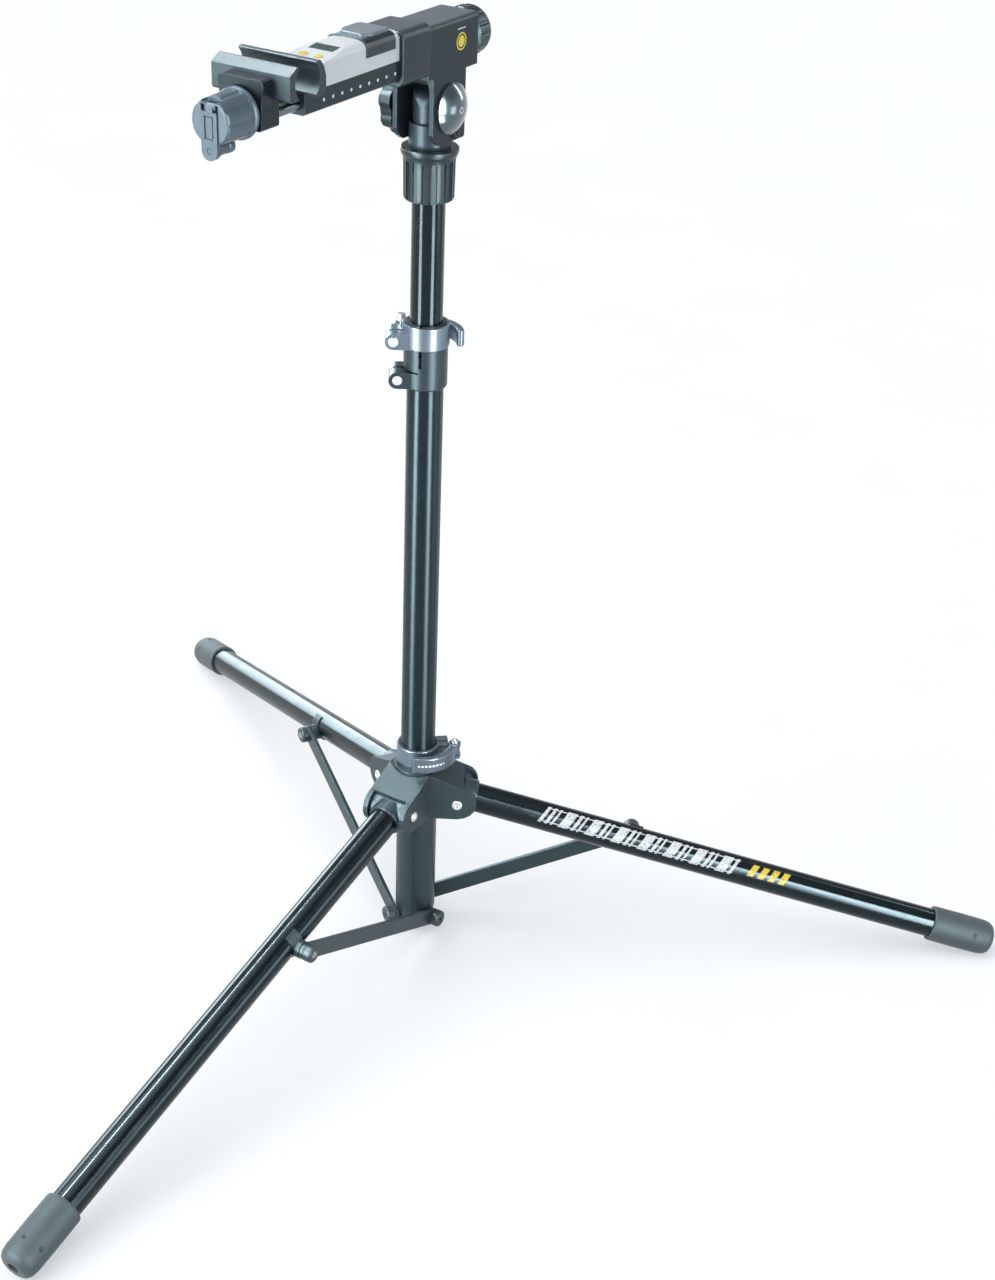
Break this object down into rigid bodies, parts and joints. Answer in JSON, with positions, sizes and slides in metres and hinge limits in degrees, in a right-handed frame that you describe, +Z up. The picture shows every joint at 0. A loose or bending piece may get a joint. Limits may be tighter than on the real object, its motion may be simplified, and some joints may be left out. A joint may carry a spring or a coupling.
{
  "type": "bicycle repair stand",
  "caption": "Folding tripod work stand with a telescoping mast and a swivelling clamp arm that grips a bicycle tube and weighs it.",
  "frame": {"origin": "on the floor, on the mast's axis", "axes": "+Z up the mast; -Y along the clamp arm towards the jaws and over one leg; +X to the right of the arm seen from behind the mast, along the clamped tube"},
  "size_m": [1.129, 0.9819, 1.0178],
  "materials": {
    "anodised_tube": "gloss black anodised",
    "dark_casting": "satin dark grey anodised",
    "slate_casting": "satin slate anodised",
    "grey_alloy": "satin grey anodised",
    "bright_steel": "turned and polished",
    "polished_rod": "polished",
    "black_domed": "gloss black anodised",
    "black_plastic": "fine moulded texture",
    "liner_plastic": "smooth nylon",
    "cap_rubber": "matt rubber",
    "white_shell": "satin moulded",
    "cover_plastic": "fine moulded texture",
    "display": "clear over grey-green",
    "button_yellow": "moulded",
    "jaw_pad": "dense grey rubber-faced",
    "knob_grey": "satin moulded",
    "load_block": "machined",
    "board": "solder mask",
    "zinc_knob": "satin"
  },
  "bodies": {
    "mast": {"main_mast_tube": "anodised_tube", "base_sleeve": "dark_casting", "base_bracket": "dark_casting", "bracket_knobs": "black_domed", "mast_collar": "slate_casting", "collar_liner": "liner_plastic", "upper_clamp_ring": "grey_alloy", "upper_clamp_hardware": "bright_steel"},
    "hub": {"hub_body": "dark_casting", "hub_liner": "liner_plastic", "hub_clamp_ring": "grey_alloy", "hub_clamp_hardware": "bright_steel", "leg_pivot_bolts": "bright_steel"},
    "hub_lever": {"hub_lever": "grey_alloy"},
    "upper_lever": {"upper_lever": "grey_alloy"},
    "inner_mast": {"upper_tube": "anodised_tube", "upper_tube_plug": "black_plastic"},
    "lock_sleeve": {"lock_sleeve": "black_plastic"},
    "head": {"mast_head": "slate_casting"},
    "fork": {"head_housing": "slate_casting", "arm_bush": "liner_plastic", "tilt_bolt": "black_domed"},
    "tilt_knob": {"tilt_knob": "black_plastic"},
    "arm": {"arm_shaft": "bright_steel", "arm_collar": "dark_casting", "arm_body": "dark_casting", "scale_shell": "white_shell", "display_window": "display", "battery_cover": "cover_plastic", "load_cell": "load_block", "circuit_board": "board", "fixed_jaw": "jaw_pad"},
    "button_left": {"button_left": "button_yellow"},
    "button_right": {"button_right": "button_yellow"},
    "jaw": {"moving_jaw": "jaw_pad", "jaw_carrier": "slate_casting", "guide_rods": "polished_rod"},
    "clamp_knob": {"clamp_knob": "knob_grey", "lead_screw": "bright_steel"},
    "crank": {"crank_arm": "knob_grey"},
    "crank_grip": {"crank_grip": "knob_grey"},
    "rear_knob": {"rear_knob": "black_plastic"},
    "leg_1": {"leg_tube_1": "anodised_tube", "leg_socket_1": "slate_casting", "foot_cap_1": "cap_rubber", "strut_boss_1": "black_plastic"},
    "strut_1": {"strut_1": "anodised_tube", "strut_knob_1": "zinc_knob"},
    "leg_2": {"leg_tube_2": "anodised_tube", "leg_socket_2": "slate_casting", "foot_cap_2": "cap_rubber", "strut_boss_2": "black_plastic"},
    "strut_2": {"strut_2": "anodised_tube", "strut_knob_2": "zinc_knob"},
    "leg_3": {"leg_tube_3": "anodised_tube", "leg_socket_3": "slate_casting", "foot_cap_3": "cap_rubber", "strut_boss_3": "black_plastic"},
    "strut_3": {"strut_3": "anodised_tube", "strut_knob_3": "zinc_knob"}
  },
  "joints": [
    {"name": "hub_slide", "type": "slide", "parent": "mast", "child": "hub", "axis": [0, 0, 1], "range_m": [0, 0.28784]},
    {"name": "leg_fold_1", "type": "hinge", "parent": "hub", "child": "leg_1", "pos_m": [0, -0.0447, 0.17782], "axis": [1, 0, 0], "range_deg": [0, 66.9]},
    {"name": "strut_fold_1", "type": "hinge", "parent": "mast", "child": "strut_1", "pos_m": [0.0247, -0.002, 0.02012], "axis": [1, 0, 0], "range_deg": [-51.6, 0]},
    {"name": "leg_fold_2", "type": "hinge", "parent": "hub", "child": "leg_2", "pos_m": [0.03871, 0.02235, 0.17782], "axis": [-0.5, 0.866, 0], "range_deg": [0, 66.9]},
    {"name": "strut_fold_2", "type": "hinge", "parent": "mast", "child": "strut_2", "pos_m": [-0.01062, 0.02239, 0.02012], "axis": [-0.5, 0.866, 0], "range_deg": [-51.6, 0]},
    {"name": "leg_fold_3", "type": "hinge", "parent": "hub", "child": "leg_3", "pos_m": [-0.03871, 0.02235, 0.17782], "axis": [-0.5, -0.866, 0], "range_deg": [0, 66.9]},
    {"name": "strut_fold_3", "type": "hinge", "parent": "mast", "child": "strut_3", "pos_m": [-0.01408, -0.02039, 0.02012], "axis": [-0.5, -0.866, 0], "range_deg": [-51.6, 0]},
    {"name": "hub_lever_open", "type": "hinge", "parent": "hub", "child": "hub_lever", "pos_m": [0.03247, 0.02234, 0.2301], "axis": [0, 0, 1], "range_deg": [0, 100]},
    {"name": "upper_lever_open", "type": "hinge", "parent": "mast", "child": "upper_lever", "pos_m": [-0.02939, 0.00105, 0.7011], "axis": [0, 0, 1], "range_deg": [0, 100]},
    {"name": "upper_slide", "type": "slide", "parent": "mast", "child": "inner_mast", "axis": [0, 0, 1], "range_m": [-0.115, 0.4]},
    {"name": "lock_turn", "type": "hinge", "parent": "inner_mast", "child": "lock_sleeve", "pos_m": [0, 0, 0.86387], "axis": [0, 0, 1], "range_deg": [0, 90]},
    {"name": "head_swivel", "type": "hinge", "parent": "inner_mast", "child": "head", "pos_m": [0, 0, 0.92712], "axis": [0, 0, 1], "continuous": true},
    {"name": "head_tilt", "type": "hinge", "parent": "head", "child": "fork", "pos_m": [0, 0, 0.92712], "axis": [1, 0, 0], "range_deg": [0, 90]},
    {"name": "tilt_knob_turn", "type": "hinge", "parent": "fork", "child": "tilt_knob", "pos_m": [-0.0302, 0, 0.92712], "axis": [1, 0, 0], "range_deg": [0, 360]},
    {"name": "arm_rotate", "type": "hinge", "parent": "fork", "child": "arm", "pos_m": [0, 0, 0.98312], "axis": [0, 1, 0], "continuous": true},
    {"name": "rear_knob_turn", "type": "hinge", "parent": "arm", "child": "rear_knob", "pos_m": [0, 0.056, 0.98312], "axis": [0, 1, 0], "range_deg": [0, 360]},
    {"name": "jaw_slide", "type": "slide", "parent": "arm", "child": "jaw", "axis": [0, 1, 0], "range_m": [-0.035, 0.022]},
    {"name": "knob_turn", "type": "hinge", "parent": "jaw", "child": "clamp_knob", "pos_m": [0, -0.2977, 0.98062], "axis": [0, 1, 0], "range_deg": [-2521, 1585]},
    {"name": "crank_flip", "type": "hinge", "parent": "clamp_knob", "child": "crank", "pos_m": [0, -0.3134, 0.99322], "axis": [-1, 0, 0], "range_deg": [0, 180]},
    {"name": "grip_spin", "type": "hinge", "parent": "crank", "child": "crank_grip", "pos_m": [0, -0.303, 0.95802], "axis": [0, 1, 0], "continuous": true},
    {"name": "button_left_press", "type": "slide", "parent": "arm", "child": "button_left", "axis": [0, 0.139, -0.9903], "range_m": [0, 0.0008], "stiffness_N_per_m": 300},
    {"name": "button_right_press", "type": "slide", "parent": "arm", "child": "button_right", "axis": [0, 0.139, -0.9903], "range_m": [0, 0.0008], "stiffness_N_per_m": 300}
  ],
  "couplings": [
    {"joint": "leg_fold_1", "follows": "hub_slide", "rad_per_m": 4.0537},
    {"joint": "strut_fold_1", "follows": "hub_slide", "rad_per_m": -3.1232},
    {"joint": "leg_fold_2", "follows": "hub_slide", "rad_per_m": 4.0537},
    {"joint": "strut_fold_2", "follows": "hub_slide", "rad_per_m": -3.1232},
    {"joint": "leg_fold_3", "follows": "hub_slide", "rad_per_m": 4.0537},
    {"joint": "strut_fold_3", "follows": "hub_slide", "rad_per_m": -3.1232},
    {"joint": "knob_turn", "follows": "jaw_slide", "rad_per_m": 1256.6}
  ]
}
